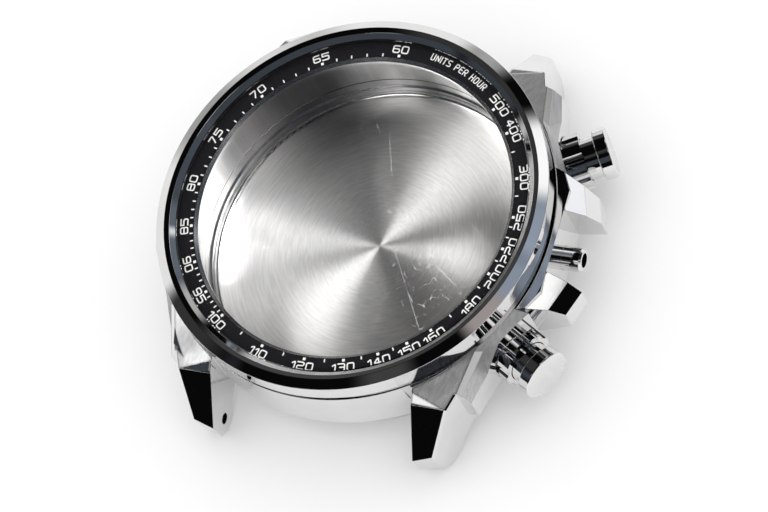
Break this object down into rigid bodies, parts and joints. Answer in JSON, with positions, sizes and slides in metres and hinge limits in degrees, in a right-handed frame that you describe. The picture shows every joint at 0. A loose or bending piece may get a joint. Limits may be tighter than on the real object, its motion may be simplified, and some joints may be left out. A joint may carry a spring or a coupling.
{
  "type": "watch case",
  "caption": "Empty round chronograph watch case with strap lugs, crown guards and tube, spring-loaded pushers, bezel, crystal, printed inner ring and screw back.",
  "frame": {"origin": "centre of the case back's outer face, on the case axis", "axes": "+Z along the case axis towards the crystal, +X to 3 o'clock along the crown tube, +Y to 12 o'clock"},
  "size_m": [0.0465, 0.0464, 0.013],
  "materials": {
    "case_steel": "brushed tops, polished sides and bevels",
    "bezel_steel": "polished",
    "crystal_glass": "clear, polished",
    "printed_ring": "gloss black with white scale",
    "caseback_steel": "circular brushing inside, satin outside",
    "tube_steel": "polished",
    "collar_steel": "polished",
    "pusher_steel": "polished sides, satin end face",
    "stem_steel": "turned",
    "clip_steel": "spring steel",
    "spring_steel": "drawn wire",
    "seal_rubber": "matte"
  },
  "bodies": {
    "case": {"mid_case": "case_steel", "bezel": "bezel_steel", "crystal": "crystal_glass", "crystal_gasket": "seal_rubber", "tachymeter_ring": "printed_ring", "caseback": "caseback_steel", "caseback_gasket": "seal_rubber", "crown_tube": "tube_steel", "upper_pusher_tube": "tube_steel", "lower_pusher_tube": "tube_steel", "upper_pusher_collar": "collar_steel", "lower_pusher_collar": "collar_steel", "upper_pusher_o_ring": "seal_rubber", "lower_pusher_o_ring": "seal_rubber", "upper_right_lug": "case_steel", "upper_left_lug": "case_steel", "lower_right_lug": "case_steel", "lower_left_lug": "case_steel"},
    "upper_pusher": {"upper_pusher_button": "pusher_steel", "upper_pusher_stem": "stem_steel", "upper_pusher_clip": "clip_steel", "upper_pusher_spring": "spring_steel"},
    "lower_pusher": {"lower_pusher_button": "pusher_steel", "lower_pusher_stem": "stem_steel", "lower_pusher_clip": "clip_steel", "lower_pusher_spring": "spring_steel"}
  },
  "joints": [
    {"name": "upper_pusher_press", "type": "slide", "parent": "case", "child": "upper_pusher", "axis": [-0.8755, -0.4833, 0], "range_m": [0, 0.0009], "stiffness_N_per_m": 3000, "springref_m": -0.0002, "deforming": ["upper_pusher_spring"]},
    {"name": "lower_pusher_press", "type": "slide", "parent": "case", "child": "lower_pusher", "axis": [-0.8755, 0.4833, 0], "range_m": [0, 0.0009], "stiffness_N_per_m": 3000, "springref_m": -0.0002, "deforming": ["lower_pusher_spring"]}
  ]
}
